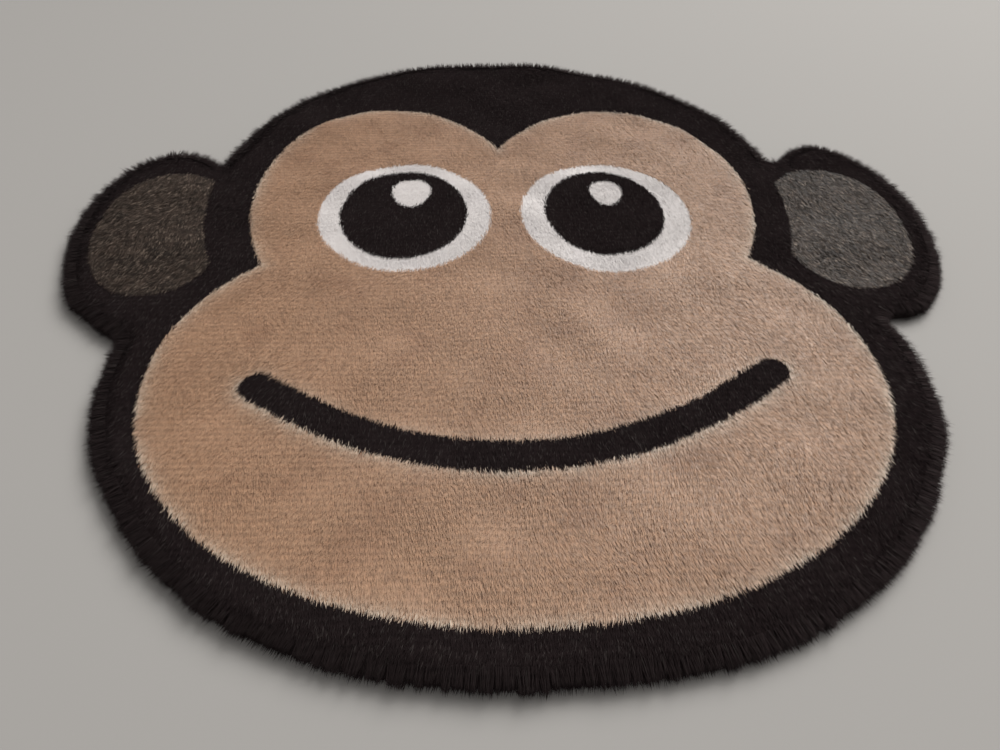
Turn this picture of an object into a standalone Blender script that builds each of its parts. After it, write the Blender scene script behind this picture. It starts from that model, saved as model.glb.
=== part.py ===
"""A child's animal-face rug: one flat sheet of cut pile, lying on a floor.

The cloth is cut to a head with two ears. The pile reaches to the outer line of four ovals, and
the cut edge runs a little inside it: a short lock of pile stands out of it every centimetre or
so, combed down to the floor. The face is knitted into the pile in four colours, so it isn't
raised: its borders only divide the flat top into coloured faces. +X runs from the rug's left
ear to its right one, +Y from chin to crown, and the origin is on the floor under its middle.
"""

import math
import random
from collections import namedtuple

import bmesh
import bpy
from mathutils import Matrix, Vector, geometry, kdtree, noise

# Heights of the pile over the floor, in metres.
PILE_HEIGHT = 0.0150        # on the flat of the rug
SHOULDER_HEIGHT = 0.0135    # where the top starts to round down
RIM_HEIGHT = 0.0105         # at the cut edge
SHOULDER_INSET = 0.010      # from the cut edge in to the shoulder
LUMP_HEIGHT = 0.0011        # soft unevenness of the pile, up and down
LUMP_LENGTH = 0.055         # from one lump to the next

# The locks at the rim.
LOCK_COUNT = 280
LOCK_LENGTH = 0.0095        # past the cut edge
LOCK_LENGTH_SPREAD = 0.0035
LOCK_ROOT_SHARE = 0.70      # of the pitch from lock to lock, the rest is a gap
LOCK_ROOT_SPREAD = 0.09
LOCK_NAP = 0.30             # how far the locks lean towards the chin, which is the pile's nap
LOCK_SWAY = 0.17            # how far each one leans to either side, at random
NOTCH_LOCK_SHARE = 0.30     # of its length left to a lock in the notch over an ear
# Each lock tapers in steps: how far along, its width, and its height, as shares of the root's.
LockStep = namedtuple("LockStep", "along width height")
LOCK_STEPS = (LockStep(0.55, 0.74, 0.66), LockStep(1.0, 0.20, 0.12))

# An oval has its centre, half sizes, turn in degrees, and how square it is, where 2 is an ellipse.
Oval = namedtuple("Oval", "x y half_width half_height turn squareness")
PILE_REACH = {
    "skull": Oval(-0.005, 0.117, 0.320, 0.292, -1.0, 2.06),
    "left_ear": Oval(-0.361, 0.042, 0.086, 0.146, 7.0, 2.00),
    "jaw": Oval(-0.001, -0.128, 0.357, 0.284, -1.2, 2.13),
    "right_ear": Oval(0.365, 0.061, 0.083, 0.149, -2.0, 1.84),
}
CUT_INSET = 0.008           # from the pile's reach in to the cut edge
NOTCH_ROUNDING = 0.010      # how far round a corner between two ovals is worn
# Where the cut runs out or in: its direction from the middle, how far, and over what angle.
Swell = namedtuple("Swell", "direction reach spread")
CUT_SWELLS = (
    Swell(30.5, 0.006, 2.5),
    Swell(-25.0, 0.003, 5.0),
    Swell(-38.0, -0.004, 4.0),
    Swell(76.0, -0.004, 5.0),
    Swell(101.0, 0.002, 9.0),
    Swell(-135.0, -0.002, 8.0),
)

# The colours of the face.
BROW_AND_MUZZLE = {
    "right_brow": Oval(0.113, 0.095, 0.151, 0.185, -10.7, 2.00),
    "left_brow": Oval(-0.126, 0.087, 0.147, 0.194, 8.7, 2.00),
    "muzzle": Oval(-0.003, -0.151, 0.316, 0.220, 0.5, 2.08),
}
EYE_WHITES = (Oval(-0.113, 0.069, 0.092, 0.092, 0.0, 2.0), Oval(0.101, 0.069, 0.091, 0.093, 0.0, 2.0))
PUPILS = (Oval(-0.114, 0.071, 0.066, 0.072, 0.0, 2.0), Oval(0.099, 0.073, 0.064, 0.071, 0.0, 2.0))
GLINTS = (Oval(-0.107, 0.109, 0.021, 0.025, 26.0, 2.3), Oval(0.107, 0.108, 0.020, 0.022, -16.0, 2.3))
EAR_LININGS = (Oval(-0.356, 0.046, 0.066, 0.097, 5.0, 2.15), Oval(0.348, 0.052, 0.071, 0.099, -5.0, 2.15))
# The head's border over each lining.
LINING_CUTS = (Oval(-0.006, 0.108, 0.316, 0.288, -1.0, 2.06), Oval(-0.014, 0.108, 0.316, 0.288, -1.0, 2.06))
# The smile is a band of one width along a parabola, with round ends.
SMILE_LOWEST = Vector((-0.011, -0.236))
SMILE_RADIUS = 0.309        # of its curve at the lowest point
SMILE_LEFT, SMILE_RIGHT = -0.224, 0.217
SMILE_WIDTH = 0.030

# Spacing of the points that make the sheet.
TUFT_PITCH = 0.031          # over the flat of the rug
CLEAR_OF_BORDER = 0.010     # how far those stay from a border's points
BORDER_STEP = 0.016         # along the borders of the colours
SMALL_BORDER_STEP = 0.009   # along the smile and the glints
CUT_STEP = 0.002            # along the cut edge, before it is divided into locks
TRACE_STEP = 0.001          # along an oval, to find where it meets another

Yarn = namedtuple("Yarn", "colour roughness")
YARNS = {
    "black_pile": Yarn((0.012, 0.010, 0.010), 0.95),
    "tan_pile": Yarn((0.342, 0.223, 0.152), 0.92),
    "white_pile": Yarn((0.680, 0.650, 0.620), 0.90),
    "heather_pile": Yarn((0.072, 0.060, 0.052), 0.95),
}
BLACK, TAN, WHITE, HEATHER = range(4)


def oval_point(oval, angle):
    cos, sin = math.cos(angle), math.sin(angle)
    along = oval.half_width * math.copysign(abs(cos) ** (2 / oval.squareness), cos)
    up = oval.half_height * math.copysign(abs(sin) ** (2 / oval.squareness), sin)
    turn = math.radians(oval.turn)
    return Vector((
        oval.x + along * math.cos(turn) - up * math.sin(turn),
        oval.y + along * math.sin(turn) + up * math.cos(turn),
    ))


def inside(oval, point):
    turn = math.radians(oval.turn)
    dx, dy = point.x - oval.x, point.y - oval.y
    along = abs(dx * math.cos(turn) + dy * math.sin(turn)) / oval.half_width
    up = abs(dy * math.cos(turn) - dx * math.sin(turn)) / oval.half_height
    return along ** oval.squareness + up ** oval.squareness < 1


def oval_run(oval, keep, step=TRACE_STEP):
    """The points of an oval, anticlockwise, that keep(point) accepts. They are one run of it."""
    count = int(2 * math.pi * max(oval.half_width, oval.half_height) / step)
    points = [oval_point(oval, 2 * math.pi * i / count) for i in range(count)]
    kept = [keep(point) for point in points]
    starts = [i for i in range(count) if kept[i] and not kept[i - 1]]
    first = starts[0] if starts else 0
    return [points[(first + i) % count] for i in range(count) if kept[(first + i) % count]]


def whole(oval):
    return oval_run(oval, lambda point: True)


def outer_runs(ovals):
    """The outer line of ovals that overlap their neighbours, a run for each, in the ovals' order."""
    runs = []
    for oval in ovals:
        others = [other for other in ovals if other is not oval]
        runs.append(oval_run(oval, lambda point: not any(inside(other, point) for other in others)))
    return runs


def lining_runs(lining, cut):
    """An ear's lining: its oval where that lies outside the head's border, and the border inside it."""
    outer = oval_run(lining, lambda point: not inside(cut, point))
    border = oval_run(cut, lambda point: inside(lining, point))
    return [outer, border[::-1]]


def on_smile(x, offset=0.0):
    """The point of the smile's middle line at x, or one to its side, upwards if offset is positive."""
    slope = (x - SMILE_LOWEST.x) / SMILE_RADIUS
    point = Vector((x, SMILE_LOWEST.y + slope * (x - SMILE_LOWEST.x) / 2))
    return point + offset * Vector((-slope, 1.0)).normalized()


def smile_runs(steps=60):
    """The smile's band: its lower side, its right end, its upper side and its left end."""
    half = SMILE_WIDTH / 2
    places = [SMILE_LEFT + (SMILE_RIGHT - SMILE_LEFT) * i / steps for i in range(steps + 1)]
    lower = [on_smile(x, -half) for x in places]
    upper = [on_smile(x, half) for x in reversed(places)]
    return [lower, round_end(SMILE_RIGHT, -half), upper, round_end(SMILE_LEFT, half)]


def round_end(x, offset, steps=12):
    """The half circle that ends the smile's band at x, anticlockwise from its side at this offset."""
    centre = on_smile(x)
    arm = on_smile(x, offset) - centre
    turns = [math.pi * i / steps for i in range(steps + 1)]
    return [centre + Matrix.Rotation(turn, 2) @ arm for turn in turns]


def lengths_along(line):
    """The distance to each point of a closed line from its first, and the whole way round."""
    reached = [0.0]
    for point, following in zip(line, line[1:] + line[:1]):
        reached.append(reached[-1] + (following - point).length)
    return reached


def points_at(line, places):
    """The points of a closed line at these distances from its first, which are in rising order."""
    reached = lengths_along(line)
    found, i = [], 0
    for place in places:
        while reached[i + 1] < place:
            i += 1
        share = (place - reached[i]) / max(reached[i + 1] - reached[i], 1e-9)
        found.append(line[i].lerp(line[(i + 1) % len(line)], share))
    return found


def evenly(line, step):
    """A closed line's points at even steps."""
    around = lengths_along(line)[-1]
    count = round(around / step)
    return points_at(line, [around * i / count for i in range(count)])


def border(runs, step):
    """A closed line from runs that meet at corners: even steps along each run, from its first point."""
    points = []
    for run in runs:
        length = lengths_along(run)[-2]
        count = max(2, round(length / step))
        points += points_at(run, [length * i / count for i in range(count)])
    return points


def rounded(line, reach):
    """The closed line with its corners worn round, each point averaged with those within reach of it."""
    count = len(line)
    weights = [(offset, reach + 1 - abs(offset)) for offset in range(-reach, reach + 1)]
    total = sum(weight for _, weight in weights)
    return [
        sum((weight * line[(i + offset) % count] for offset, weight in weights), Vector((0, 0))) / total
        for i in range(count)
    ]


def outward(line, i, reach=1):
    """The direction out of an anticlockwise line at its point i."""
    along = line[(i + reach) % len(line)] - line[i - reach]
    return Vector((along.y, -along.x)).normalized()


def moved_out(line, i):
    """Where the cut edge runs beside a point of the pile's reach, with its swells."""
    direction = math.degrees(math.atan2(line[i].y, line[i].x))
    reach = -CUT_INSET
    for swell in CUT_SWELLS:
        off = (direction - swell.direction + 180) % 360 - 180
        reach += swell.reach * math.exp(-((off / swell.spread) ** 2))
    return line[i] + reach * outward(line, i, 3)


def hollow(line, i, reach=4):
    """How sharply the line turns in at its point i, 0 where it is straight or turns out."""
    before, after = line[i] - line[i - reach], line[(i + reach) % len(line)] - line[i]
    return max(0.0, -before.cross(after) / (before.length * after.length))


def cut_line():
    """The rug's cut edge: two points for each lock, its root's two corners."""
    reach = [point for run in outer_runs(list(PILE_REACH.values())) for point in run]
    reach = rounded(evenly(reach, CUT_STEP), round(NOTCH_ROUNDING / CUT_STEP))
    edge = [moved_out(reach, i) for i in range(len(reach))]
    pitch = lengths_along(edge)[-1] / LOCK_COUNT
    chance = random.Random(3)
    places = []
    for i in range(LOCK_COUNT):
        root = LOCK_ROOT_SHARE + chance.uniform(-LOCK_ROOT_SPREAD, LOCK_ROOT_SPREAD)
        places += [i * pitch, (i + root) * pitch]
    return points_at(edge, places)


def colour_at(point):
    """Which yarn the pile is of, at a point of the plan."""
    if any(inside(oval, point) for oval in GLINTS):
        return WHITE
    if any(inside(oval, point) for oval in PUPILS):
        return BLACK
    if any(inside(oval, point) for oval in EYE_WHITES):
        return WHITE
    if in_smile(point):
        return BLACK
    if any(inside(oval, point) for oval in BROW_AND_MUZZLE.values()):
        return TAN
    if any(inside(lining, point) and not inside(cut, point) for lining, cut in zip(EAR_LININGS, LINING_CUTS)):
        return HEATHER
    return BLACK


def in_smile(point):
    """Whether a point lies on the smile. Three steps along the curve bring x under the point squarely."""
    x = point.x
    for _ in range(3):
        x = min(max(x, SMILE_LEFT), SMILE_RIGHT)
        middle = on_smile(x)
        x += (point - middle).dot(Vector((1.0, (x - SMILE_LOWEST.x) / SMILE_RADIUS)).normalized())
    return (point - middle).length < SMILE_WIDTH / 2


def pile_top(point):
    """The pile's height on the flat of the rug, with its lumps."""
    lump = noise.noise(Vector((point.x, point.y, 0.0)) / LUMP_LENGTH)
    return PILE_HEIGHT + 2 * LUMP_HEIGHT * lump


def nearest(points):
    """A lookup of how far any point of the plan lies from the nearest of these."""
    tree = kdtree.KDTree(len(points))
    for i, point in enumerate(points):
        tree.insert(point.to_3d(), i)
    tree.balance()
    return lambda point: tree.find(point.to_3d())[2]


def tuft_points(rim, fixed):
    """Staggered rows of points over the flat of the rug, clear of its shoulder and of the borders."""
    to_rim, to_fixed = nearest(rim), nearest(fixed)
    row_height = TUFT_PITCH * math.sqrt(3) / 2
    rows = int(max(abs(point.y) for point in rim) / row_height)
    columns = int(max(abs(point.x) for point in rim) / TUFT_PITCH)
    points = []
    for row in range(-rows, rows + 1):
        for column in range(-columns, columns + 1):
            point = Vector(((column + 0.5 * (row % 2)) * TUFT_PITCH, row * row_height))
            on_rug = any(inside(oval, point) for oval in PILE_REACH.values())
            if on_rug and to_rim(point) > 2 * SHOULDER_INSET and to_fixed(point) > CLEAR_OF_BORDER:
                points.append(point)
    return points


def colour_borders():
    """The closed lines between the colours of the face."""
    borders = [border(outer_runs(list(BROW_AND_MUZZLE.values())), BORDER_STEP)]
    borders += [border(lining_runs(*pair), BORDER_STEP) for pair in zip(EAR_LININGS, LINING_CUTS)]
    borders += [border(smile_runs(), SMALL_BORDER_STEP)]
    borders += [evenly(whole(oval), BORDER_STEP) for oval in EYE_WHITES + PUPILS]
    borders += [evenly(whole(oval), SMALL_BORDER_STEP) for oval in GLINTS]
    return borders


def add_top(mesh, rim):
    """The rug's top, in triangles whose sides follow the borders. Returns its verts along the rim."""
    shoulder = [rim[i] - SHOULDER_INSET * outward(rim, i, 3) for i in range(0, len(rim), 2)]
    borders = colour_borders()
    flat = [point for border in borders for point in border]
    flat += tuft_points(rim, shoulder + flat)
    plan, edges = rim + shoulder + flat, []
    first = 0
    for line in [rim, shoulder] + borders:
        edges += [(first + i, first + (i + 1) % len(line)) for i in range(len(line))]
        first += len(line)

    inside_edges = 1
    points, _, faces, given, _, _ = geometry.delaunay_2d_cdt(plan, edges, [], inside_edges, 1e-6)
    verts, rim_verts = [], [None] * len(rim)
    for point, source in zip(points, given):
        place = source[0]
        height = pile_top(point)
        if place < len(rim):
            height += RIM_HEIGHT - PILE_HEIGHT
        elif place < len(rim) + len(shoulder):
            height += SHOULDER_HEIGHT - PILE_HEIGHT
        verts.append(mesh.verts.new((point.x, point.y, height)))
        if place < len(rim):
            rim_verts[place] = verts[-1]
    for corners in faces:
        face = mesh.faces.new([verts[i] for i in corners])
        face.material_index = colour_at(sum((points[i] for i in corners), Vector((0, 0))) / len(corners))
    return rim_verts


def add_lock(mesh, root, out, length):
    """A four-sided lock on a face of the cut edge. It tapers to its tip, with its underside on the floor."""
    corners = [vert.co.copy() for vert in root.verts]
    centre = sum(corners, Vector()) / len(corners)
    side = Vector((-out.y, out.x, 0.0))
    half_width = max((corner - centre).dot(side) for corner in corners)
    height = max(corner.z for corner in corners)
    centre.z = 0.0
    face = root
    for step in LOCK_STEPS:
        face = bmesh.ops.extrude_discrete_faces(mesh, faces=[face])["faces"][0]
        before = centre + sum((vert.co - centre for vert in face.verts), Vector()) / len(face.verts)
        for vert in face.verts:
            left = math.copysign(half_width * step.width, (vert.co - before).dot(side))
            top = height * step.height if vert.co.z > 0 else 0.0
            vert.co = centre + step.along * length * out + left * side + Vector((0.0, 0.0, top))


def build_sheet():
    """The rug as one closed mesh: its top, its flat underside, its cut edge and the locks on it."""
    rim = cut_line()
    mesh = bmesh.new()
    top = add_top(mesh, rim)
    foot = [mesh.verts.new((point.x, point.y, 0.0)) for point in rim]
    mesh.faces.new(foot[::-1])
    sides = []
    for i in range(len(rim)):
        following = (i + 1) % len(rim)
        sides.append(mesh.faces.new((foot[i], foot[following], top[following], top[i])))

    chance = random.Random(7)
    for i in range(0, len(rim), 2):
        out = outward(rim, i).to_3d() + LOCK_NAP * Vector((0.0, -1.0, 0.0))
        out += chance.uniform(-LOCK_SWAY, LOCK_SWAY) * Vector((-out.y, out.x, 0.0))
        length = LOCK_LENGTH + chance.uniform(-LOCK_LENGTH_SPREAD, LOCK_LENGTH_SPREAD)
        length *= 1 - (1 - NOTCH_LOCK_SHARE) * min(1.0, 3 * hollow(rim, i))
        add_lock(mesh, sides[i], out.normalized(), length)
    bmesh.ops.recalc_face_normals(mesh, faces=mesh.faces)
    return mesh


def yarn_material(name, yarn):
    material = bpy.data.materials.new(name)
    material.use_nodes = True
    shader = material.node_tree.nodes["Principled BSDF"]
    shader.inputs["Base Color"].default_value = (*yarn.colour, 1.0)
    shader.inputs["Roughness"].default_value = yarn.roughness
    shader.inputs["Metallic"].default_value = 0.0
    material.diffuse_color = (*yarn.colour, 1.0)
    return material


def clear_scene():
    for thing in list(bpy.data.objects):
        bpy.data.objects.remove(thing, do_unlink=True)


def main():
    clear_scene()
    collection = bpy.data.collections.new("animal_face_rug")
    bpy.context.scene.collection.children.link(collection)

    sheet = bpy.data.meshes.new("pile_sheet")
    mesh = build_sheet()
    mesh.to_mesh(sheet)
    mesh.free()
    for name, yarn in YARNS.items():
        sheet.materials.append(yarn_material(name, yarn))
    sheet.shade_smooth()
    sheet.set_sharp_from_angle(angle=math.radians(40))
    collection.objects.link(bpy.data.objects.new("pile_sheet", sheet))


main()
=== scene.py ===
import math

import bpy
import numpy as np
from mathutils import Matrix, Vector, geometry, kdtree, noise


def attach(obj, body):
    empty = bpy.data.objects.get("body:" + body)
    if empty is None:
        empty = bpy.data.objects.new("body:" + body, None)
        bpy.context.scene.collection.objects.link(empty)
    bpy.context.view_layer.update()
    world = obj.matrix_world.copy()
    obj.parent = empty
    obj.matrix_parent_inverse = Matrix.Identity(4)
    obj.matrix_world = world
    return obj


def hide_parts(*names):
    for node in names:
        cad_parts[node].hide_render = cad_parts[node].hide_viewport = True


# A child's animal-face rug: a flat sheet of cut pile with short fur all over and a ragged rim.
# +X runs from the left ear to the right one, +Y from chin to crown, and the floor is at z = 0.
# Lengths are in metres and turns in degrees, unless a note says otherwise.

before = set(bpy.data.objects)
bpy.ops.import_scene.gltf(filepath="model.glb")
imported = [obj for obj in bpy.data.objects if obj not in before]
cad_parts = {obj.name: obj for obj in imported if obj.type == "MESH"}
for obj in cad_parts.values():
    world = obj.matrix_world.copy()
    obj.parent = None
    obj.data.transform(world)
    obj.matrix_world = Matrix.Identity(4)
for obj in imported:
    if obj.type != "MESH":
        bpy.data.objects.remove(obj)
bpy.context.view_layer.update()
scene = bpy.context.scene
print("frame loaded:", ", ".join(sorted(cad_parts)))

view = {
    "place": (-0.0482, -0.5384, 0.4699),    # from the point of the floor under the rug's middle
    "turn": (40.191, -1.575, -2.236),       # about X, Y and Z
    "lens": 25.2,                           # mm
    "sensor": 36.0,                         # mm wide
    "nearest": 0.01,
}


def makeCamera():
    lens = bpy.data.cameras.new("photoView")
    lens.lens = view["lens"]
    lens.sensor_width = view["sensor"]
    lens.clip_start = view["nearest"]
    camera = bpy.data.objects.new("photoView", lens)
    camera.location = view["place"]
    camera.rotation_euler = [math.radians(angle) for angle in view["turn"]]
    scene.collection.objects.link(camera)
    scene.camera = camera


makeCamera()
print("camera placed")

# The face and the outline are drawn in ovals. Each is x, y, half width, half height, turn and squareness,
# which is 2 for an ellipse.
face = {
    "browsAndMuzzle": [
        (0.113, 0.095, 0.151, 0.185, -10.7, 2.0),
        (-0.126, 0.087, 0.147, 0.194, 8.7, 2.0),
        (-0.003, -0.151, 0.316, 0.220, 0.5, 2.08),
    ],
    "eyeWhites": [(-0.112, 0.071, 0.091, 0.0905, 0.0, 2.0), (0.101, 0.0702, 0.091, 0.0920, 0.0, 2.0)],
    "pupils": [(-0.1135, 0.073, 0.0665, 0.074, 0.0, 2.0), (0.1003, 0.0755, 0.0635, 0.071, 0.0, 2.0)],
    "glints": [     # x, y, half width, rise and drop
        (-0.107, 0.110, 0.0215, 0.0225, 0.028),
        (0.1065, 0.111, 0.0185, 0.0175, 0.025),
    ],
    "glintSquareness": (2.3, 2.0, 1.5),     # above its middle, then below it across and down
    "linings": [(-0.356, 0.046, 0.066, 0.097, 5.0, 2.15), (0.348, 0.052, 0.071, 0.099, -5.0, 2.15)],
    "liningCuts": [     # each lining ends where the black of the head begins
        (-0.006, 0.108, 0.316, 0.288, -1.0, 2.06),
        (-0.014, 0.108, 0.316, 0.288, -1.0, 2.06),
    ],
    "smile": {
        "lowest": (-0.011, -0.236),
        "radius": 0.309,        # of its curve at the lowest point
        "left": -0.224,
        "right": 0.217,
        "width": 0.030,
        "leanAway": 0.0045,     # how much further off its black counts above it
    },
}
blackYarn, tanYarn, whiteYarn, heatherYarn, wovenBack = range(5)    # the order of the sheet's materials


# 1 on an oval's own line, less inside it and more outside.
def level(oval, x, y):
    cx, cy, halfWidth, halfHeight, turn, power = oval
    c, s = math.cos(math.radians(turn)), math.sin(math.radians(turn))
    u = np.abs((x - cx) * c + (y - cy) * s) / halfWidth
    v = np.abs((y - cy) * c - (x - cx) * s) / halfHeight
    return (u ** power + v ** power + 1e-12) ** (1 / power)


def within(ovals, x, y):
    return np.any([level(oval, x, y) < 1 for oval in ovals], axis=0)


# How far a point lies outside an oval, and inside it as a negative number.
def outside(oval, x, y):
    step = 1e-4
    here = level(oval, x, y)
    slopeX = (level(oval, x + step, y) - here) / step
    slopeY = (level(oval, x, y + step) - here) / step
    return (here - 1) / (np.hypot(slopeX, slopeY) + 1e-9)


def smileHeight(x):
    lowX, lowY = face["smile"]["lowest"]
    return lowY + (x - lowX) ** 2 / (2 * face["smile"]["radius"])


# How far a point lies outside the smile. Each turn of the loop comes nearer to its middle line.
def offSmile(x, y):
    smile = face["smile"]
    along = np.clip(x, smile["left"], smile["right"])
    for _ in range(4):
        slope = (along - smile["lowest"][0]) / smile["radius"]
        ahead = (x - along) + (y - smileHeight(along)) * slope
        along = np.clip(along + ahead / (1 + slope ** 2), smile["left"], smile["right"])
    return np.hypot(x - along, y - smileHeight(along)) - smile["width"] / 2


# A glint is round above its middle and comes to a soft point below.
def inGlint(glint, x, y):
    cx, cy, halfWidth, rise, drop = glint
    upper, across, down = face["glintSquareness"]
    u = np.abs(x - cx) / halfWidth
    above = u ** upper + np.abs((y - cy) / rise) ** upper
    below = u ** across + np.abs((y - cy) / drop) ** down
    return np.where(y > cy, above, below) < 1


def yarnAt(x, y):
    lining = np.any([
        (level(oval, x, y) < 1) & (level(cut, x, y) > 1)
        for oval, cut in zip(face["linings"], face["liningCuts"])
    ], axis=0)
    shining = np.any([inGlint(glint, x, y) for glint in face["glints"]], axis=0)
    found = np.where(lining, heatherYarn, blackYarn)
    found = np.where(within(face["browsAndMuzzle"], x, y), tanYarn, found)
    found = np.where(offSmile(x, y) < 0, blackYarn, found)
    found = np.where(within(face["eyeWhites"], x, y), whiteYarn, found)
    found = np.where(within(face["pupils"], x, y), blackYarn, found)
    return np.where(shining, whiteYarn, found)


# How far a point of the light brown pile lies from the black around it. Above the smile it counts as
# further off, since the pile leans away from the black there and pales less.
def offBlack(x, y):
    fromEdge = np.abs(np.min([outside(oval, x, y) for oval in face["browsAndMuzzle"]], axis=0))
    fromSmile = np.abs(offSmile(x, y)) + np.where(y > smileHeight(x), face["smile"]["leanAway"], 0)
    return np.minimum(fromEdge, fromSmile)


outline = {
    "reach": [                                      # how far the pile reaches
        (-0.005, 0.117, 0.320, 0.292, -1.0, 2.06),  # skull
        (-0.361, 0.042, 0.086, 0.146, 7.0, 2.00),   # left ear
        (-0.001, -0.128, 0.357, 0.284, -1.2, 2.13),     # jaw
        (0.365, 0.061, 0.083, 0.149, -2.0, 1.84),   # right ear
    ],
    "swells": [     # where the edge runs out or in: direction from the middle, how far, over what angle
        (-2.0, 0.0020, 6.0), (14.0, 0.0036, 10.0), (45.0, 0.0038, 7.0), (61.0, 0.0024, 8.0),
        (73.0, -0.0032, 4.5), (82.0, 0.0044, 4.0), (93.5, -0.0022, 4.0), (106.0, 0.0026, 6.0),
        (131.0, 0.0018, 8.0), (152.5, 0.0030, 3.0), (-167.5, -0.0055, 3.0), (-154.0, 0.0020, 9.0),
        (-135.0, -0.0020, 8.0), (-98.0, -0.0024, 14.0), (-82.0, -0.0038, 8.0), (-31.5, 0.0040, 4.5),
        (-25.0, 0.0030, 5.0), (-14.0, -0.0060, 2.0),
    ],
    "notchRounding": 0.010,
    "softNotch": (0.311, 0.1645, 0.040),    # where the crown runs softly into the right ear: x, y, reach
    "softRounding": 0.040,
    "inset": 0.0040,            # from the pile's reach in to the under-pile's cut edge
    "wayOutSteps": 8,           # the way out is taken between points this many steps to both sides
    "drawStep": 0.002,
    "edgeStep": 0.003,
}


def swell(x, y):
    direction = np.degrees(np.arctan2(y, x))
    total = np.zeros_like(x)
    for middle, far, spread in outline["swells"]:
        off = (direction - middle + 180) % 360 - 180
        total += far * np.exp(-((off / spread) ** 2))
    return total


def ovalLine(oval, count=2400):
    cx, cy, halfWidth, halfHeight, turn, power = oval
    angle = np.linspace(0, 2 * np.pi, count, endpoint=False)
    u = halfWidth * np.sign(np.cos(angle)) * np.abs(np.cos(angle)) ** (2 / power)
    v = halfHeight * np.sign(np.sin(angle)) * np.abs(np.sin(angle)) ** (2 / power)
    c, s = math.cos(math.radians(turn)), math.sin(math.radians(turn))
    return cx + u * c - v * s, cy + u * s + v * c


def evenSteps(line, step):
    closed = np.vstack([line, line[:1]])
    reached = np.concatenate([[0], np.cumsum(np.hypot(*np.diff(closed, axis=0).T))])
    places = np.linspace(0, reached[-1], round(reached[-1] / step), endpoint=False)
    return np.stack([np.interp(places, reached, closed[:, k]) for k in range(2)], 1)


# The way out of a line at each of its points, square to the stretch between the points on both sides.
def outwardOf(line, apart=3):
    along = np.roll(line, -apart, axis=0) - np.roll(line, apart, axis=0)
    out = np.stack([along[:, 1], -along[:, 0]], 1)
    return out / np.linalg.norm(out, axis=1)[:, None]


def rounded(line, far):
    turns = round(far / outline["drawStep"])
    shifts = range(-turns, turns + 1)
    weights = [turns + 1 - abs(k) for k in shifts]
    return sum(w * np.roll(line, k, axis=0) for w, k in zip(weights, shifts)) / sum(weights)


# The under-pile's cut edge: the ovals' common line, rounded in its notches and swelled.
def cutLine():
    arcs = []
    for oval in outline["reach"]:
        x, y = ovalLine(oval)
        kept = np.all([level(other, x, y) >= 1 for other in outline["reach"] if other is not oval], axis=0)
        first = np.argmax(kept & ~np.roll(kept, 1))
        kept, x, y = np.roll(kept, -first), np.roll(x, -first), np.roll(y, -first)
        arcs.append(np.stack([x[kept], y[kept]], 1))
    line = evenSteps(np.concatenate(arcs), outline["drawStep"])

    softX, softY, softReach = outline["softNotch"]
    near = np.exp(-(np.hypot(line[:, 0] - softX, line[:, 1] - softY) / softReach) ** 2)[:, None]
    usual = rounded(line, outline["notchRounding"])
    soft = rounded(line, outline["softRounding"])
    line = (1 - near) * usual + near * soft
    # The way out is taken over a long stretch, so that the two sides of a notch don't cross.
    far = swell(*line.T) - outline["inset"]
    line = line + far[:, None] * outwardOf(line, outline["wayOutSteps"])
    return evenSteps(line, outline["edgeStep"])


sheet = {
    "height": 0.0127,           # top of the dense under-pile that the fur stands in
    "levelFrom": 0.014,         # how far in from the cut edge it has that height
    "side": [                   # from the floor up: how far in from the cut edge, and the height
        (0.0016, 0.0), (0.0002, 0.0010), (0.0, 0.0035), (0.0011, 0.0066), (0.0039, 0.0095), (0.0097, 0.0116),
    ],
    "lumpHeight": 0.0011,
    "lumpLength": 0.055,
    "gridStep": 0.0065,
    "gridHalf": 0.5,            # half of the square that the grid covers
    "gridMargin": 0.004,        # from the side's last ring in to the grid
    "tolerance": 1e-6,
    # What its colours read, where the fur has a value for each blade.
    # Its along value mixes in part of the darker root colour, which is partly painted shade.
    "layers": {"along": 0.34, "tone": 0.5, "fleck": 1.0, "clump": 0.5, "frostAndPaintedLight": 0.0},
}


# Soft noise over the rug, about -0.5 to 0.5. Each layer is a pattern of its own.
def softNoise(x, y, size, layer):
    return np.array([noise.noise(Vector((a, b, layer)) / size) for a, b in zip(x, y)])


def lumpAt(x, y):
    return 2 * sheet["lumpHeight"] * softNoise(x, y, sheet["lumpLength"], layer=0.0)


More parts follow.
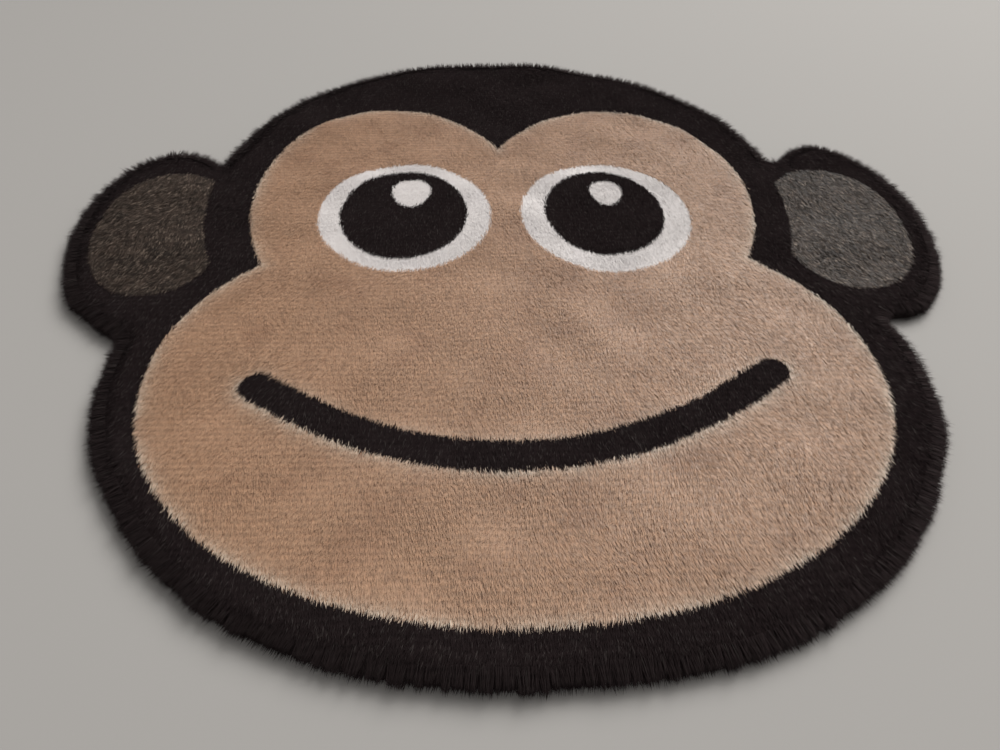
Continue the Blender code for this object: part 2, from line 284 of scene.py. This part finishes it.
# The under-pile is one closed sheet: rings up its side, a lumpy top and a flat woven underside.
def buildSheet(edge, measured):
    out = outwardOf(edge)
    side = sheet["side"]
    rings = [edge - inset * out for inset, height in side]
    count = len(edge)
    spread = np.arange(-sheet["gridHalf"], sheet["gridHalf"], sheet["gridStep"])
    gridX, gridY = [a.ravel() for a in np.meshgrid(spread, spread)]
    depth = readEdge(measured, gridX, gridY)[0]
    inner = np.stack([gridX, gridY], 1)[depth > side[-1][0] + sheet["gridMargin"]]
    plan = [Vector(p) for p in np.vstack([rings[-1], inner]).tolist()]
    edges = [(i, (i + 1) % count) for i in range(count)]
    insideOnly = 1
    points, _, faces, given, _, _ = geometry.delaunay_2d_cdt(plan, edges, [], insideOnly, sheet["tolerance"])

    verts = [(p[0], p[1], height) for ring, (_, height) in zip(rings, side) for p in ring]
    top = np.array(points)
    heights = sheet["height"] + lumpAt(top[:, 0], top[:, 1])
    # The last ring's points are already there, and the points inside it are new.
    place = {}
    for i, source in enumerate(given):
        if source[0] < count:
            place[i] = (len(rings) - 1) * count + source[0]
        else:
            place[i] = len(verts)
            verts.append((top[i, 0], top[i, 1], heights[i]))
    polygons = [[place[i] for i in corners] for corners in faces]
    for k in range(len(rings) - 1):
        low, high = k * count, (k + 1) * count
        for i in range(count):
            j = (i + 1) % count
            polygons.append((low + i, low + j, high + j, high + i))
    polygons.append(list(range(count))[::-1])

    mesh = bpy.data.meshes.new("underPile")
    mesh.from_pydata(verts, [], polygons)
    mesh.shade_smooth()
    middles = np.zeros(len(mesh.polygons) * 3)
    mesh.polygons.foreach_get("center", middles)
    middles = middles.reshape(-1, 3)
    yarnOfFace = yarnAt(middles[:, 0], middles[:, 1]).astype(np.int32)
    yarnOfFace[-1] = wovenBack
    mesh.polygons.foreach_set("material_index", yarnOfFace)
    addLayers(mesh, {title: np.full(len(verts), value) for title, value in sheet["layers"].items()})
    piece = bpy.data.objects.new("underPile", mesh)
    scene.collection.objects.link(piece)
    return piece


# The colours read these values at each point of a mesh.
def addLayers(mesh, layers):
    for title, values in layers.items():
        layer = mesh.attributes.new(title, "FLOAT", "POINT")
        layer.data.foreach_set("value", values.astype(np.float32))


# The fur is tapered blades, a few fibres each.
fur = {
    "pitch": 0.00092,           # from blade to blade
    "rowSpacing": 0.866,        # from row to row, for each pitch
    "scatter": 0.30,            # of the blades about their even places, for each pitch
    "edgeMargin": 0.0004,       # from the cut edge in to the first blades
    "rise": 0.0009,             # of a tip over its root, on the flat of the rug
    "riseSpread": 0.0004,
    "rimRise": 0.4,             # how much of that rise is left at the cut edge
    "rimDroop": 0.0012,         # how much lower a tip hangs there
    "flatter": 0.05,            # how much lower it lies on the brows and crown, brushed down
    "flatterFrom": (-0.05, 0.22),   # where that starts and where it is full, in Y
    "whiteRise": 0.55,          # the white yarn is finer, and lies closer
    "heatherRise": 1.4,         # the ear linings are rougher
    "nap": 0.0073,              # how far a tip lies towards the chin from its root
    "napSpread": 0.0018,
    "sway": 0.0013,             # to either side
    "splay": 0.004,             # sideways for each metre from the middle
    "brushed": 0.0016,          # further sideways, in soft patches as hands and feet leave them
    "brushLength": 0.060,
    "clumpPitch": 0.0042,       # neighbouring tips draw together at this spacing
    "clumpWaver": (0.3, 1.3, 1.7),  # of the clumps' rows: how far, and how fast across and along
    "clumping": 0.14,           # how far, as a share of the way to their middle
    "clumpingRange": (0.5, 1.5),
    "raggedness": 0.0009,       # of the borders between colours
    "showsAt": 0.62,            # how far along a blade its colour counts on the face
    "frostDepth": 0.0050,       # how deep the paler yarn goes along the black
    "frostUsual": 0.85,         # how strong it is there, from 0 to 1
    "frostPatches": 0.9,        # how much it comes and goes
    "frostLeast": 0.3,
    "frostLength": 0.030,
    "width": 0.00110,
    "widthRange": (0.75, 1.25),
    "rimNarrowing": 0.4,
    "rootDepth": 0.0003,        # of a root in the under-pile
    "lowestTip": 0.0012,        # over the floor
    "twist": 0.35,              # of a blade about its own length, in radians
    "softness": 0.93,           # how far a blade's shading follows the pile's surface, not its own side
    "facingUp": 1.6,            # how much more that surface looks up than out, where it turns outwards
    "turnDepth": 0.024,         # from the cut edge in to where blades start to turn outwards
    "turnFull": 0.0015,         # and to where they are fully turned
    "turnReach": 0.0052,        # how far a turned tip then lies outwards
    "turnSpread": 0.25,
    "turnedSway": 0.3,          # how much of the sway and of the nap is lost there
    "turnedNap": 0.75,
    "band": 0.004,              # the blades are sorted in bands this wide
    "mapCorners": [(0.12, 0.10), (0.88, 0.10), (0.5, 0.92)],    # of a blade in its square of the map
}
rim = {
    "pitch": 0.00045,           # from blade to blade along the cut edge
    "wayOutSteps": 8,
    "rows": [0.0020, 0.0039, 0.0058, 0.0077, 0.0096, 0.0112, 0.0126],     # their heights over the floor
    "rowSpread": 0.0007,
    "lowestRoot": 0.0014,
    "rootDepth": 0.0004,
    "reach": 0.0032,            # from the under-pile's side out to a tip
    "reachSpread": 0.0011,
    "furthest": 0.0090,
    "width": 0.00065,
    "widthRange": (0.6, 1.3),
    "lockPitch": (0.003, 0.015),    # blades draw together into locks of this width
    "lockReach": (0.50, 1.45),      # how far a lock reaches, for each reach of its blades
    "lockSpread": 0.0006,       # how far the blades of neighbouring locks mix
    "drawn": 0.40,              # how far a blade draws to its lock's middle, as a share of the way
    "drawnRange": (0.4, 1.3),
    "stray": 0.0007,            # of a tip sideways and in height
    "lift": 0.0006,             # of a tip over its root
    "droop": 0.10,              # how much it then falls for each metre out
    "lowestTip": 0.0008,
    "rimLightAtChin": 0.6,                # how much lighter the rim is at the chin: painted light on the side that faces away from the lamps
    "rimLightUpTo": 0.5,            # where that painted light stops, as the way out turns from the chin (-1) to the crown (1)
    "leanOut": 0.5,             # of the shading, from straight up (0) to half way over (1)
}
yarns = {       # and how many pieces each one's fur is split over
    "blackPile": {"yarn": blackYarn, "slot": "black_pile", "pieces": 3},
    "tanPile": {"yarn": tanYarn, "slot": "tan_pile", "pieces": 3},
    "whitePile": {"yarn": whiteYarn, "slot": "white_pile", "pieces": 1},
    "heatherPile": {"yarn": heatherYarn, "slot": "heather_pile", "pieces": 1},
}
field = {"halfWidth": 0.48, "halfHeight": 0.45, "step": 0.003}      # a little larger than the rug
chance = np.random.default_rng(11)


def unit(vectors):
    return vectors / np.linalg.norm(vectors, axis=1)[:, None]


def smoothStep(low, high, value):
    t = np.clip((value - low) / (high - low), 0, 1)
    return t * t * (3 - 2 * t)


# How far inside the cut edge a point lies and the way out, kept on a grid and read between its points.
def measureEdge(edge):
    tree = kdtree.KDTree(len(edge))
    for i, (x, y) in enumerate(edge):
        tree.insert((x, y, 0.0), i)
    tree.balance()
    out = outwardOf(edge)
    past = 1e-4     # so that the last point counts too
    xs = np.arange(-field["halfWidth"], field["halfWidth"] + past, field["step"])
    ys = np.arange(-field["halfHeight"], field["halfHeight"] + past, field["step"])
    values = np.zeros((len(ys), len(xs), 3))
    for j, y in enumerate(ys):
        for i, x in enumerate(xs):
            near, index, apart = tree.find((x, y, 0.0))
            outward = out[index]
            beyond = (x - near[0]) * outward[0] + (y - near[1]) * outward[1]
            values[j, i] = (apart if beyond < 0 else -apart, *outward)
    return values


def readEdge(measured, x, y):
    u = np.clip((x + field["halfWidth"]) / field["step"], 0, measured.shape[1] - 1.001)
    v = np.clip((y + field["halfHeight"]) / field["step"], 0, measured.shape[0] - 1.001)
    i, j = u.astype(int), v.astype(int)
    fu, fv = (u - i)[:, None], (v - j)[:, None]
    low = measured[j, i] * (1 - fu) + measured[j, i + 1] * fu
    high = measured[j + 1, i] * (1 - fu) + measured[j + 1, i + 1] * fu
    found = low * (1 - fv) + high * fv
    way = found[:, 1:] / (np.linalg.norm(found[:, 1:], axis=1)[:, None] + 1e-9)
    return found[:, 0], way[:, 0], way[:, 1]


def scatterRoots():
    pitch = fur["pitch"]
    rows = int(field["halfHeight"] / (pitch * fur["rowSpacing"]))
    columns = int(field["halfWidth"] / pitch)
    row, column = [a.ravel() for a in np.mgrid[-rows:rows + 1, -columns:columns + 1]]
    x = (column + 0.5 * (row % 2)) * pitch + chance.normal(0, fur["scatter"] * pitch, row.size)
    y = row * pitch * fur["rowSpacing"] + chance.normal(0, fur["scatter"] * pitch, row.size)
    return x, y


# The clump that each tip belongs to, and the way from the tip to the clump's middle.
def clumpTips(x, y):
    size = fur["clumpPitch"]
    far, across, along = fur["clumpWaver"]
    cellX = np.round(x / size + far * np.sin(y / size * across))
    cellY = np.round(y / size + far * np.sin(x / size * along))
    mostRows = 4096
    _, clump = np.unique((cellX * mostRows + cellY).astype(np.int64), return_inverse=True)
    share = np.bincount(clump)
    return clump, (np.bincount(clump, x) / share)[clump] - x, (np.bincount(clump, y) / share)[clump] - y


def plantPile(measured):
    x, y = scatterRoots()
    depth, outX, outY = readEdge(measured, x, y)
    kept = depth > fur["edgeMargin"]
    x, y, depth, outX, outY = [a[kept] for a in (x, y, depth, outX, outY)]
    count = x.size

    # Blades lie towards the chin, and turn outwards near the cut edge.
    turned = smoothStep(fur["turnDepth"], fur["turnFull"], depth)
    brushed = softNoise(x, y, fur["brushLength"], layer=3.0)
    sway = chance.normal(0, fur["sway"], count) + 2 * fur["brushed"] * brushed + fur["splay"] * x
    nap = fur["nap"] + chance.normal(0, fur["napSpread"], count)
    outward = fur["turnReach"] * (1 + chance.normal(0, fur["turnSpread"], count))
    leanX = sway * (1 - fur["turnedSway"] * turned) + turned * outward * outX
    leanY = -nap * (1 - fur["turnedNap"] * turned) + turned * outward * outY

    # They stand on the under-pile, and rise less as it rounds down to its side.
    insets, heights = zip(*sheet["side"][2:], (sheet["levelFrom"], sheet["height"]))
    flat = smoothStep(0.0, sheet["levelFrom"], depth)
    under = np.interp(depth, insets, heights) + flat * lumpAt(x, y)
    rise = fur["rise"] + chance.normal(0, fur["riseSpread"], count)
    rise = rise * (fur["rimRise"] + (1 - fur["rimRise"]) * flat)
    rise = rise * (1 - fur["flatter"] * smoothStep(*fur["flatterFrom"], y))
    rise = rise - fur["rimDroop"] * turned * (1 - flat)

    clump, toMiddleX, toMiddleY = clumpTips(x + leanX, y + leanY)
    draw = fur["clumping"] * chance.uniform(*fur["clumpingRange"], count)
    leanX = leanX + draw * toMiddleX
    leanY = leanY + draw * toMiddleY
    clumpTone = chance.uniform(0, 1, clump.max() + 1)[clump]

    # Each has the yarn of the place where it shows.
    width = fur["width"] * chance.uniform(*fur["widthRange"], count) * (1 - fur["rimNarrowing"] * turned)
    ragged = chance.normal(0, fur["raggedness"], (2, count))
    showX = x + fur["showsAt"] * leanX + ragged[0]
    showY = y + fur["showsAt"] * leanY + ragged[1]
    yarn = yarnAt(showX, showY)
    patchy = fur["frostUsual"] + fur["frostPatches"] * softNoise(x, y, fur["frostLength"], layer=7.0)
    frostAndPaintedLight = np.exp(-offBlack(showX, showY) / fur["frostDepth"]) * np.clip(patchy, fur["frostLeast"], 1)
    rise = np.where(yarn == whiteYarn, fur["whiteRise"] * rise, rise)
    rise = np.where(yarn == heatherYarn, fur["heatherRise"] * rise, rise)
    root = np.stack([x, y, under - fur["rootDepth"]], 1)
    tip = root + np.stack([leanX, leanY, rise + fur["rootDepth"]], 1)
    tip[:, 2] = np.maximum(tip[:, 2], fur["lowestTip"])
    return {
        "root": root,
        "tip": tip,
        "width": width,
        "yarn": yarn,
        "clump": clumpTone,
        "frostAndPaintedLight": np.where(yarn == tanYarn, frostAndPaintedLight, 0),
        "facing": unit(np.stack([turned * outX, turned * outY, np.full(count, fur["facingUp"])], 1)),
    }


# Thin blades that stand out around the cut edge, drawn together into locks.
def plantRim(edge):
    around = np.sum(np.hypot(*(edge - np.roll(edge, 1, axis=0)).T))
    widths = chance.uniform(*rim["lockPitch"], int(around / min(rim["lockPitch"])))
    ends = np.cumsum(widths)
    lockReach = chance.uniform(*rim["lockReach"], widths.size)
    insets, heights = zip(*sheet["side"])
    line = evenSteps(edge, rim["pitch"])
    out = outwardOf(line, rim["wayOutSteps"])
    aside = np.stack([-out[:, 1], out[:, 0]], 1)
    count = len(line)
    planted = []
    for height in rim["rows"]:
        walked = np.arange(count) * rim["pitch"] + chance.normal(0, rim["lockSpread"], count)
        lock = np.searchsorted(ends, walked)
        toMiddle = (ends - widths / 2)[lock] - walked
        up = np.maximum(height + chance.normal(0, rim["rowSpread"], count), rim["lowestRoot"])
        inset = np.interp(up, heights, insets) + rim["rootDepth"]
        far = (rim["reach"] + chance.exponential(rim["reachSpread"], count)) * lockReach[lock]
        far = np.minimum(far, rim["furthest"])
        drawn = rim["drawn"] * toMiddle * chance.uniform(*rim["drawnRange"], count)
        drawn = drawn + chance.normal(0, rim["stray"], count)
        start = np.column_stack([line - inset[:, None] * out, up])
        lean = (far + inset)[:, None] * out + drawn[:, None] * aside
        end = start + np.column_stack([lean, np.zeros(count)])
        end[:, 2] += rim["lift"] - rim["droop"] * far + chance.normal(0, rim["stray"], count)
        end[:, 2] = np.maximum(end[:, 2], rim["lowestTip"])
        planted.append({
            "root": start,
            "tip": end,
            "width": rim["width"] * chance.uniform(*rim["widthRange"], count),
            "yarn": np.full(count, blackYarn),
            "clump": chance.uniform(0, 1, count),
            # Painted light: rim blades that face the chin, on the side away from the lamps, get a lighter
            # colour.
            "frostAndPaintedLight": rim["rimLightAtChin"] * np.clip(rim["rimLightUpTo"] - out[:, 1], 0, 1),
            "facing": unit(np.column_stack([rim["leanOut"] * out, np.full(count, 1.0)])),
        })
    return {title: np.concatenate([row[title] for row in planted]) for title in planted[0]}


def buildFur(name, blades):
    order = np.lexsort((blades["root"][:, 0], np.round(blades["root"][:, 1] / fur["band"])))
    blades = {title: values[order] for title, values in blades.items()}
    root, tip, facing = blades["root"], blades["tip"], blades["facing"]
    count = len(root)
    along = unit(tip - root)
    across = unit(np.cross(along, facing))
    over = np.cross(across, along)
    turn = chance.normal(0, fur["twist"], count)[:, None]
    across, over = across * np.cos(turn) + over * np.sin(turn), over * np.cos(turn) - across * np.sin(turn)
    half = (blades["width"] / 2)[:, None] * across
    corners = np.stack([root - half, root + half, tip], 1)

    mesh = bpy.data.meshes.new(name)
    mesh.vertices.add(count * 3)
    mesh.vertices.foreach_set("co", corners.ravel())
    mesh.loops.add(count * 3)
    mesh.loops.foreach_set("vertex_index", np.arange(count * 3, dtype=np.int32))
    mesh.polygons.add(count)
    mesh.polygons.foreach_set("loop_start", np.arange(0, count * 3, 3, dtype=np.int32))
    mesh.update(calc_edges=True)
    mesh.shade_smooth()
    # Fine fibres scatter light as one soft surface, so the normals lean towards the pile's own.
    soft = unit((1 - fur["softness"]) * over + fur["softness"] * facing)
    mesh.normals_split_custom_set_from_vertices(np.repeat(soft, 3, axis=0))

    addLayers(mesh, {
        "along": np.tile([0.0, 0.0, 1.0], count),
        "tone": np.repeat(chance.uniform(0, 1, count), 3),
        "fleck": np.repeat(chance.uniform(0, 1, count), 3),
        "clump": np.repeat(blades["clump"], 3),
        "frostAndPaintedLight": np.repeat(blades["frostAndPaintedLight"], 3),
    })

    # Each blade has a small square of the map to itself, so that its colours can be laid out in an image.
    perRow = math.ceil(math.sqrt(count))
    cell = np.stack([np.arange(count) % perRow, np.arange(count) // perRow], 1) / perRow
    places = cell[:, None, :] + (np.array(fur["mapCorners"]) / perRow)[None]
    mesh.uv_layers.new(name="OFBake").data.foreach_set("uv", places.astype(np.float32).ravel())
    piece = bpy.data.objects.new(name, mesh)
    scene.collection.objects.link(piece)
    return piece


def addNode(tree, kind, **values):
    node = tree.nodes.new(kind)
    for name, value in values.items():
        setattr(node, name, value)
    return node


# A socket takes either another socket's output or a plain value.
def feed(tree, socket, value):
    if hasattr(value, "is_linked"):
        tree.links.new(value, socket)
    else:
        socket.default_value = value


# On a Mix node the colours are sockets 6 and 7, and the mixed colour is output 2.
def mixColour(tree, factor, first, second, blend="MIX"):
    node = addNode(tree, "ShaderNodeMix", data_type="RGBA", blend_type=blend, clamp_factor=True)
    feed(tree, node.inputs[0], factor)
    feed(tree, node.inputs[6], first)
    feed(tree, node.inputs[7], second)
    return node.outputs[2]


def maths(tree, operation, *values):
    node = addNode(tree, "ShaderNodeMath", operation=operation)
    for socket, value in zip(node.inputs, values):
        feed(tree, socket, value)
    return node.outputs[0]


def ramp(tree, value, low, high, outLow=0.0, outHigh=1.0):
    node = addNode(tree, "ShaderNodeMapRange", interpolation_type="SMOOTHSTEP")
    for socket, given in zip(node.inputs, (value, low, high, outLow, outHigh)):
        feed(tree, socket, given)
    return node.outputs[0]


def newGroup(name, inputs, outputs):
    tree = bpy.data.node_groups.new(name, "ShaderNodeTree")
    for title, kind, value in inputs:
        socket = tree.interface.new_socket(title, in_out="INPUT", socket_type=kind)
        socket.default_value = value
    for title, kind in outputs:
        tree.interface.new_socket(title, in_out="OUTPUT", socket_type=kind)
    return tree, addNode(tree, "NodeGroupInput"), addNode(tree, "NodeGroupOutput")


pattern = {
    "patchScale": 26.0,
    "patchDetail": 3.0,
    "patchFrom": 0.47,
    "patchFull": 0.72,
    "rowScale": 58.0,           # of the knitted rows
    "rowDistortion": 2.0,
    "rowDetailScale": 0.4,
    "rootTo": (0.05, 0.55),     # how far along a blade its darker root colour gives way; that darkness is partly the yarn's and partly painted shade deep in the pile
    "tipFrom": (0.62, 1.0),     # and its tip's colour comes in
    "tipShare": 0.75,
}


def pileGroup():
    colour, number = "NodeSocketColor", "NodeSocketFloat"
    tree, given, result = newGroup("pileColour", [
        ("Root", colour, (0.05, 0.03, 0.02, 1)),
        ("Body", colour, (0.3, 0.2, 0.15, 1)),
        ("Tip", colour, (0.5, 0.4, 0.3, 1)),
        ("Fleck", colour, (0.6, 0.6, 0.5, 1)),
        ("Fleck share", number, 0.05),
        ("Patch", colour, (0.3, 0.2, 0.15, 1)),
        ("Patch share", number, 0.3),
        ("Frost and painted light", colour, (0.6, 0.55, 0.5, 1)),
        ("Frost and painted light share", number, 0.0),
        ("Spread", number, 0.3),
        ("Row depth", number, 0.1),
        ("Clump share", number, 0.4),
        ("Smoothest", number, 0.7),
        ("Roughest", number, 0.95),
    ], [("Colour", colour), ("Roughness", number)])
    along, tone, fleck, clump, frostAndPaintedLight = [
        addNode(tree, "ShaderNodeAttribute", attribute_name=title).outputs["Fac"]
        for title in ("along", "tone", "fleck", "clump", "frostAndPaintedLight")
    ]
    place = addNode(tree, "ShaderNodeTexCoord").outputs["Object"]

    patches = addNode(tree, "ShaderNodeTexNoise")
    patches.inputs["Scale"].default_value = pattern["patchScale"]
    patches.inputs["Detail"].default_value = pattern["patchDetail"]
    tree.links.new(place, patches.inputs["Vector"])
    patchy = ramp(tree, patches.outputs["Fac"], pattern["patchFrom"], pattern["patchFull"])
    patchMask = maths(tree, "MULTIPLY", patchy, given.outputs["Patch share"])

    rows = addNode(tree, "ShaderNodeTexWave", bands_direction="Y")
    rows.inputs["Scale"].default_value = pattern["rowScale"]
    rows.inputs["Distortion"].default_value = pattern["rowDistortion"]
    rows.inputs["Detail Scale"].default_value = pattern["rowDetailScale"]
    tree.links.new(place, rows.inputs["Vector"])

    body = mixColour(tree, patchMask, given.outputs["Body"], given.outputs["Patch"])
    # Roots are darker, partly as the yarn is and partly as painted shade between the blades.
    colour = mixColour(tree, ramp(tree, along, *pattern["rootTo"]), given.outputs["Root"], body)
    tipMask = ramp(tree, along, *pattern["tipFrom"], 0.0, pattern["tipShare"])
    colour = mixColour(tree, tipMask, colour, given.outputs["Tip"])
    # The light brown pales along the black; on the black rim the same layer lays painted light on the side
    # in shade.
    frostAndLightMask = maths(tree, "MULTIPLY", frostAndPaintedLight, given.outputs["Frost and painted light share"])
    colour = mixColour(tree, frostAndLightMask, colour, given.outputs["Frost and painted light"])
    isFleck = maths(tree, "LESS_THAN", fleck, given.outputs["Fleck share"])
    colour = mixColour(tree, isFleck, colour, given.outputs["Fleck"])

    # Each blade is a little lighter or darker, partly with its clump, and so is each knitted row.
    clumpOver = maths(tree, "SUBTRACT", clump, tone)
    strand = maths(tree, "MULTIPLY_ADD", clumpOver, given.outputs["Clump share"], tone)
    strandOver = maths(tree, "SUBTRACT", strand, 0.5)
    shade = maths(tree, "MULTIPLY_ADD", strandOver, given.outputs["Spread"], 1.0)
    rowOver = maths(tree, "SUBTRACT", rows.outputs["Fac"], 0.5)
    shade = maths(tree, "ADD", shade, maths(tree, "MULTIPLY", rowOver, given.outputs["Row depth"]))
    bright = addNode(tree, "ShaderNodeCombineColor")
    for k in range(3):
        tree.links.new(shade, bright.inputs[k])
    colour = mixColour(tree, 1.0, colour, bright.outputs[0], "MULTIPLY")
    roughness = ramp(tree, tone, 0.0, 1.0, given.outputs["Smoothest"], given.outputs["Roughest"])
    tree.links.new(colour, result.inputs["Colour"])
    tree.links.new(roughness, result.inputs["Roughness"])
    return tree


pileColour = pileGroup()
finishes = {
    "blackPile": {
        "pile": {
            "Root": (0.0115, 0.0083, 0.0086), "Body": (0.0185, 0.0134, 0.0140),
            "Tip": (0.0290, 0.0215, 0.0222),
            "Fleck": (0.045, 0.038, 0.037), "Fleck share": 0.08,
            "Patch": (0.023, 0.0175, 0.0180), "Patch share": 0.7,
            # On the black this colour is only on the rim towards the chin: painted light on its shaded side.
            "Frost and painted light": (0.045, 0.034, 0.035), "Frost and painted light share": 0.90,
            "Spread": 0.4, "Row depth": 0.12, "Smoothest": 0.50, "Roughest": 0.70,
        },
        "shine": 0.0,
        "sheen": 0.02,
        "sheenTint": (1.0, 0.85, 0.85),
    },
    "tanPile": {
        "pile": {
            "Root": (0.288, 0.150, 0.087), "Body": (0.458, 0.264, 0.154), "Tip": (0.532, 0.332, 0.206),
            "Fleck": (0.290, 0.153, 0.084), "Fleck share": 0.07,
            "Patch": (0.360, 0.190, 0.105), "Patch share": 0.75,
            "Frost and painted light": (0.660, 0.565, 0.460), "Frost and painted light share": 0.85,
            "Spread": 0.36, "Row depth": 0.15, "Smoothest": 0.50, "Roughest": 0.68,
        },
        "shine": 0.85,
        "sheen": 0.4,
        "sheenTint": (1.0, 0.70, 0.52),
    },
    "whitePile": {
        "pile": {
            "Root": (0.655, 0.618, 0.615), "Body": (0.755, 0.718, 0.712), "Tip": (0.780, 0.752, 0.752),
            "Fleck": (0.680, 0.630, 0.615), "Fleck share": 0.04,
            "Patch": (0.715, 0.675, 0.682), "Patch share": 0.5,
            "Spread": 0.04, "Row depth": 0.02, "Smoothest": 0.65, "Roughest": 0.80,
        },
        "shine": 0.6,
        "sheen": 0.4,
        "sheenTint": (1.0, 0.96, 0.94),
    },
    "heatherPile": {
        "pile": {
            "Root": (0.012, 0.0080, 0.0066), "Body": (0.047, 0.0322, 0.0250), "Tip": (0.106, 0.0745, 0.0585),
            "Fleck": (0.200, 0.156, 0.124), "Fleck share": 0.16,
            "Patch": (0.018, 0.0120, 0.0096), "Patch share": 0.9,
            "Spread": 1.1, "Row depth": 0.20, "Clump share": 0.75, "Smoothest": 0.50, "Roughest": 0.70,
        },
        "shine": 0.24,
        "sheen": 0.05,
        "sheenTint": (1.0, 0.85, 0.75),
    },
}
sheenRoughness = 0.5


def pileMaterial(name):
    finish = finishes[name]
    material = bpy.data.materials.new(name)
    material.use_nodes = True
    tree = material.node_tree
    shader = tree.nodes["Principled BSDF"]
    pile = addNode(tree, "ShaderNodeGroup", node_tree=pileColour)
    for title, value in finish["pile"].items():
        pile.inputs[title].default_value = (*value, 1.0) if isinstance(value, tuple) else value
    tree.links.new(pile.outputs["Colour"], shader.inputs["Base Color"])
    tree.links.new(pile.outputs["Roughness"], shader.inputs["Roughness"])
    shader.inputs["Specular IOR Level"].default_value = finish["shine"]
    shader.inputs["Sheen Weight"].default_value = finish["sheen"]
    shader.inputs["Sheen Roughness"].default_value = sheenRoughness
    shader.inputs["Sheen Tint"].default_value = (*finish["sheenTint"], 1.0)
    return material


backing = {
    "dark": (0.50, 0.46, 0.40, 1),
    "light": (0.68, 0.64, 0.57, 1),
    "threadScale": 160.0,
    "distortion": 0.6,
    "bumpStrength": 0.5,
    "bumpHeight": 0.0006,
    "roughness": 0.9,
}


def backingMaterial():
    material = bpy.data.materials.new("wovenBacking")
    material.use_nodes = True
    tree = material.node_tree
    shader = tree.nodes["Principled BSDF"]
    place = addNode(tree, "ShaderNodeTexCoord").outputs["Object"]
    warp = addNode(tree, "ShaderNodeTexWave", bands_direction="X")
    weft = addNode(tree, "ShaderNodeTexWave", bands_direction="Y")
    for wave in (warp, weft):
        wave.inputs["Scale"].default_value = backing["threadScale"]
        wave.inputs["Distortion"].default_value = backing["distortion"]
        tree.links.new(place, wave.inputs["Vector"])
    weave = maths(tree, "MULTIPLY", warp.outputs["Fac"], weft.outputs["Fac"])
    tree.links.new(mixColour(tree, weave, backing["dark"], backing["light"]), shader.inputs["Base Color"])
    bump = addNode(tree, "ShaderNodeBump")
    bump.inputs["Strength"].default_value = backing["bumpStrength"]
    bump.inputs["Distance"].default_value = backing["bumpHeight"]
    tree.links.new(weave, bump.inputs["Height"])
    tree.links.new(bump.outputs[0], shader.inputs["Normal"])
    shader.inputs["Roughness"].default_value = backing["roughness"]
    return material


materials = {name: pileMaterial(name) for name in yarns}
print("materials made:", ", ".join(materials))

edge = cutLine()
measured = measureEdge(edge)
underPile = buildSheet(edge, measured)
for name in yarns:
    underPile.data.materials.append(materials[name])
underPile.data.materials.append(backingMaterial())
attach(underPile, "root")
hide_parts("pile_sheet")
print("under-pile built:", len(underPile.data.polygons), "faces")

pile = plantPile(measured)
fringe = plantRim(edge)
blades = {title: np.concatenate([pile[title], fringe[title]]) for title in pile}
for name, settings in yarns.items():
    mine = np.flatnonzero(blades["yarn"] == settings["yarn"])
    mine = mine[chance.permutation(mine.size)]
    for k, part in enumerate(np.array_split(mine, settings["pieces"])):
        title = name if settings["pieces"] == 1 else f"{name}{k + 1}"
        piece = buildFur(title, {kind: values[part] for kind, values in blades.items()})
        piece.data.materials.append(materials[name])
        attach(piece, "root")
        print("fur:", title, part.size, "blades")

ground = {"half": 14.0, "colour": (0.41, 0.40, 0.39, 1), "roughness": 0.95, "shine": 0.1}
daylight = (1, 0.98, 0.945)
lights = {
    "softDaylight": {
        "kind": "SUN",
        "place": (1.9, 3.3, 2.8),
        "aim": (0, 0, 0),
        "settings": {"energy": 2.2, "angle": math.radians(30), "color": daylight},
    },
    "nearWindow": {
        "kind": "AREA",
        "place": (1.4, 1.0, 2.15),
        "aim": (0.1, 0.05, 0),
        "settings": {"energy": 38.0, "size": 2.0, "color": daylight},
    },
}
room = {"colour": (1.0, 0.97, 0.94, 1), "strength": 0.29}


def makeFloor():
    half = ground["half"]
    corners = [(-half, -half, 0), (half, -half, 0), (half, half, 0), (-half, half, 0)]
    mesh = bpy.data.meshes.new("floor")
    mesh.from_pydata(corners, [], [(0, 1, 2, 3)])
    material = bpy.data.materials.new("paleFloor")
    material.use_nodes = True
    shader = material.node_tree.nodes["Principled BSDF"]
    shader.inputs["Base Color"].default_value = ground["colour"]
    shader.inputs["Roughness"].default_value = ground["roughness"]
    shader.inputs["Specular IOR Level"].default_value = ground["shine"]
    mesh.materials.append(material)
    floor = bpy.data.objects.new("floor", mesh)
    scene.collection.objects.link(floor)


def makeLight(name, kind, place, aim, settings):
    lamp = bpy.data.lights.new(name, kind)
    for title, value in settings.items():
        setattr(lamp, title, value)
    light = bpy.data.objects.new(name, lamp)
    light.location = place
    light.rotation_euler = (Vector(aim) - Vector(place)).to_track_quat("-Z", "Y").to_euler()
    scene.collection.objects.link(light)


def makeWorld():
    world = bpy.data.worlds.new("room")
    world.use_nodes = True
    sky = world.node_tree.nodes["Background"]
    sky.inputs["Color"].default_value = room["colour"]
    sky.inputs["Strength"].default_value = room["strength"]
    scene.world = world


makeFloor()
for name, light in lights.items():
    makeLight(name, **light)
makeWorld()
scene.view_settings.view_transform = "Standard"
print("floor and lights placed:", ", ".join(lights))

bpy.context.view_layer.update()
